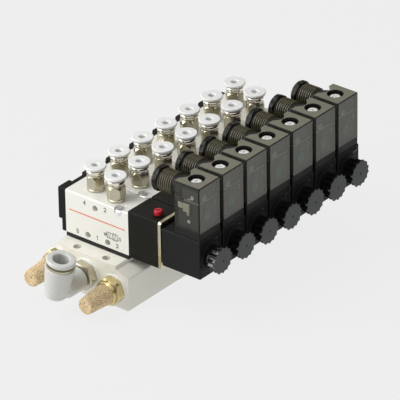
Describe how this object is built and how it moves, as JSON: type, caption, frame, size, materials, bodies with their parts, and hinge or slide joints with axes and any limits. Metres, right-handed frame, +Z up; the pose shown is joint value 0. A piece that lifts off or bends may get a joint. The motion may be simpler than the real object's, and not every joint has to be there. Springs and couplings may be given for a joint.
{
  "type": "pneumatic valve island",
  "caption": "Row of single-solenoid pneumatic valves on a common aluminium manifold, with push-in tube fittings, smoked DIN connectors, a supply elbow and silencers.",
  "frame": {"origin": "centre of the four base mounting holes, in the plane of the manifold's underside", "axes": "+Z up from the underside; +Y along the row, away from the supply elbow; +X towards the solenoids"},
  "size_m": [0.1234, 0.2238, 0.0964],
  "materials": {
    "body_paint": "satin",
    "manifold_paint": "satin",
    "black_rubber": "matte",
    "cap_black": "satin",
    "pilot_black": "satin",
    "zinc_screw": "polished",
    "spring_steel": "satin",
    "spool_alloy": "satin",
    "button_red": "gloss",
    "plate_zinc": "satin",
    "tube_steel": "satin",
    "coil_black": "satin",
    "nut_black": "satin",
    "smoked_clear": "gloss",
    "board": "matte",
    "blade_steel": "satin",
    "gland_black": "gloss",
    "nickel": "polished",
    "insert_rubber": "matte",
    "ring_white": "satin",
    "elbow_grey": "satin",
    "brass": "polished",
    "sintered_bronze": "matte",
    "ptfe_white": "matte"
  },
  "bodies": {
    "island": {"manifold_base": "manifold_paint", "station_gaskets": "black_rubber", "valve_bodies": "body_paint", "valve_screws": "zinc_screw", "spring_end_caps": "cap_black", "end_screws": "zinc_screw", "valve_springs": "spring_steel", "pilot_blocks": "pilot_black", "pole_plates": "plate_zinc", "armature_tubes": "tube_steel", "armatures": "tube_steel", "solenoid_coils": "coil_black", "terminal_blades": "blade_steel", "coil_nuts": "nut_black", "connector_gaskets": "black_rubber", "connector_bases": "coil_black", "connector_housings": "smoked_clear", "connector_screws": "zinc_screw", "connector_boards": "board", "gland_nuts": "gland_black", "gland_seals": "black_rubber", "fitting_bodies": "nickel", "fitting_seals_and_grips": "insert_rubber", "elbow_stem": "nickel", "silencer_bodies": "brass", "silencer_elements": "sintered_bronze", "port_washers": "ptfe_white", "end_plugs": "zinc_screw"},
    "spool_1": {"spool_1": "spool_alloy"},
    "spool_2": {"spool_2": "spool_alloy"},
    "spool_3": {"spool_3": "spool_alloy"},
    "spool_4": {"spool_4": "spool_alloy"},
    "spool_5": {"spool_5": "spool_alloy"},
    "spool_6": {"spool_6": "spool_alloy"},
    "spool_7": {"spool_7": "spool_alloy"},
    "button_1": {"override_button_1": "button_red"},
    "button_2": {"override_button_2": "button_red"},
    "button_3": {"override_button_3": "button_red"},
    "button_4": {"override_button_4": "button_red"},
    "button_5": {"override_button_5": "button_red"},
    "button_6": {"override_button_6": "button_red"},
    "button_7": {"override_button_7": "button_red"},
    "ring_a1": {"release_ring_a1": "ring_white"},
    "ring_a2": {"release_ring_a2": "ring_white"},
    "ring_a3": {"release_ring_a3": "ring_white"},
    "ring_a4": {"release_ring_a4": "ring_white"},
    "ring_a5": {"release_ring_a5": "ring_white"},
    "ring_a6": {"release_ring_a6": "ring_white"},
    "ring_a7": {"release_ring_a7": "ring_white"},
    "ring_b1": {"release_ring_b1": "ring_white"},
    "ring_b2": {"release_ring_b2": "ring_white"},
    "ring_b3": {"release_ring_b3": "ring_white"},
    "ring_b4": {"release_ring_b4": "ring_white"},
    "ring_b5": {"release_ring_b5": "ring_white"},
    "ring_b6": {"release_ring_b6": "ring_white"},
    "ring_b7": {"release_ring_b7": "ring_white"},
    "elbow": {"elbow_body": "elbow_grey", "elbow_collar_and_grip": "nickel", "elbow_tube_seal": "insert_rubber"},
    "elbow_ring": {"elbow_release_ring": "elbow_grey"}
  },
  "joints": [
    {"name": "spool_shift_1", "type": "slide", "parent": "island", "child": "spool_1", "axis": [-1, 0, 0], "range_m": [0, 0.003], "stiffness_N_per_m": 800, "springref_m": -0.002},
    {"name": "spool_shift_2", "type": "slide", "parent": "island", "child": "spool_2", "axis": [-1, 0, 0], "range_m": [0, 0.003], "stiffness_N_per_m": 800, "springref_m": -0.002},
    {"name": "spool_shift_3", "type": "slide", "parent": "island", "child": "spool_3", "axis": [-1, 0, 0], "range_m": [0, 0.003], "stiffness_N_per_m": 800, "springref_m": -0.002},
    {"name": "spool_shift_4", "type": "slide", "parent": "island", "child": "spool_4", "axis": [-1, 0, 0], "range_m": [0, 0.003], "stiffness_N_per_m": 800, "springref_m": -0.002},
    {"name": "spool_shift_5", "type": "slide", "parent": "island", "child": "spool_5", "axis": [-1, 0, 0], "range_m": [0, 0.003], "stiffness_N_per_m": 800, "springref_m": -0.002},
    {"name": "spool_shift_6", "type": "slide", "parent": "island", "child": "spool_6", "axis": [-1, 0, 0], "range_m": [0, 0.003], "stiffness_N_per_m": 800, "springref_m": -0.002},
    {"name": "spool_shift_7", "type": "slide", "parent": "island", "child": "spool_7", "axis": [-1, 0, 0], "range_m": [0, 0.003], "stiffness_N_per_m": 800, "springref_m": -0.002},
    {"name": "button_press_1", "type": "slide", "parent": "island", "child": "button_1", "axis": [0, 0, -1], "range_m": [0, 0.0012], "stiffness_N_per_m": 1000, "springref_m": -0.001},
    {"name": "button_press_2", "type": "slide", "parent": "island", "child": "button_2", "axis": [0, 0, -1], "range_m": [0, 0.0012], "stiffness_N_per_m": 1000, "springref_m": -0.001},
    {"name": "button_press_3", "type": "slide", "parent": "island", "child": "button_3", "axis": [0, 0, -1], "range_m": [0, 0.0012], "stiffness_N_per_m": 1000, "springref_m": -0.001},
    {"name": "button_press_4", "type": "slide", "parent": "island", "child": "button_4", "axis": [0, 0, -1], "range_m": [0, 0.0012], "stiffness_N_per_m": 1000, "springref_m": -0.001},
    {"name": "button_press_5", "type": "slide", "parent": "island", "child": "button_5", "axis": [0, 0, -1], "range_m": [0, 0.0012], "stiffness_N_per_m": 1000, "springref_m": -0.001},
    {"name": "button_press_6", "type": "slide", "parent": "island", "child": "button_6", "axis": [0, 0, -1], "range_m": [0, 0.0012], "stiffness_N_per_m": 1000, "springref_m": -0.001},
    {"name": "button_press_7", "type": "slide", "parent": "island", "child": "button_7", "axis": [0, 0, -1], "range_m": [0, 0.0012], "stiffness_N_per_m": 1000, "springref_m": -0.001},
    {"name": "ring_press_a1", "type": "slide", "parent": "island", "child": "ring_a1", "axis": [0, 0, -1], "range_m": [0, 0.001], "stiffness_N_per_m": 800, "springref_m": -0.0005},
    {"name": "ring_press_a2", "type": "slide", "parent": "island", "child": "ring_a2", "axis": [0, 0, -1], "range_m": [0, 0.001], "stiffness_N_per_m": 800, "springref_m": -0.0005},
    {"name": "ring_press_a3", "type": "slide", "parent": "island", "child": "ring_a3", "axis": [0, 0, -1], "range_m": [0, 0.001], "stiffness_N_per_m": 800, "springref_m": -0.0005},
    {"name": "ring_press_a4", "type": "slide", "parent": "island", "child": "ring_a4", "axis": [0, 0, -1], "range_m": [0, 0.001], "stiffness_N_per_m": 800, "springref_m": -0.0005},
    {"name": "ring_press_a5", "type": "slide", "parent": "island", "child": "ring_a5", "axis": [0, 0, -1], "range_m": [0, 0.001], "stiffness_N_per_m": 800, "springref_m": -0.0005},
    {"name": "ring_press_a6", "type": "slide", "parent": "island", "child": "ring_a6", "axis": [0, 0, -1], "range_m": [0, 0.001], "stiffness_N_per_m": 800, "springref_m": -0.0005},
    {"name": "ring_press_a7", "type": "slide", "parent": "island", "child": "ring_a7", "axis": [0, 0, -1], "range_m": [0, 0.001], "stiffness_N_per_m": 800, "springref_m": -0.0005},
    {"name": "ring_press_b1", "type": "slide", "parent": "island", "child": "ring_b1", "axis": [0, 0, -1], "range_m": [0, 0.001], "stiffness_N_per_m": 800, "springref_m": -0.0005},
    {"name": "ring_press_b2", "type": "slide", "parent": "island", "child": "ring_b2", "axis": [0, 0, -1], "range_m": [0, 0.001], "stiffness_N_per_m": 800, "springref_m": -0.0005},
    {"name": "ring_press_b3", "type": "slide", "parent": "island", "child": "ring_b3", "axis": [0, 0, -1], "range_m": [0, 0.001], "stiffness_N_per_m": 800, "springref_m": -0.0005},
    {"name": "ring_press_b4", "type": "slide", "parent": "island", "child": "ring_b4", "axis": [0, 0, -1], "range_m": [0, 0.001], "stiffness_N_per_m": 800, "springref_m": -0.0005},
    {"name": "ring_press_b5", "type": "slide", "parent": "island", "child": "ring_b5", "axis": [0, 0, -1], "range_m": [0, 0.001], "stiffness_N_per_m": 800, "springref_m": -0.0005},
    {"name": "ring_press_b6", "type": "slide", "parent": "island", "child": "ring_b6", "axis": [0, 0, -1], "range_m": [0, 0.001], "stiffness_N_per_m": 800, "springref_m": -0.0005},
    {"name": "ring_press_b7", "type": "slide", "parent": "island", "child": "ring_b7", "axis": [0, 0, -1], "range_m": [0, 0.001], "stiffness_N_per_m": 800, "springref_m": -0.0005},
    {"name": "elbow_swivel", "type": "hinge", "parent": "island", "child": "elbow", "pos_m": [0, -0.105, 0.0163], "axis": [0, 1, 0], "range_deg": [-52, 30]},
    {"name": "elbow_ring_press", "type": "slide", "parent": "elbow", "child": "elbow_ring", "axis": [-0.1908, 0, -0.9816], "range_m": [0, 0.0014], "stiffness_N_per_m": 1000, "springref_m": -0.0005}
  ]
}
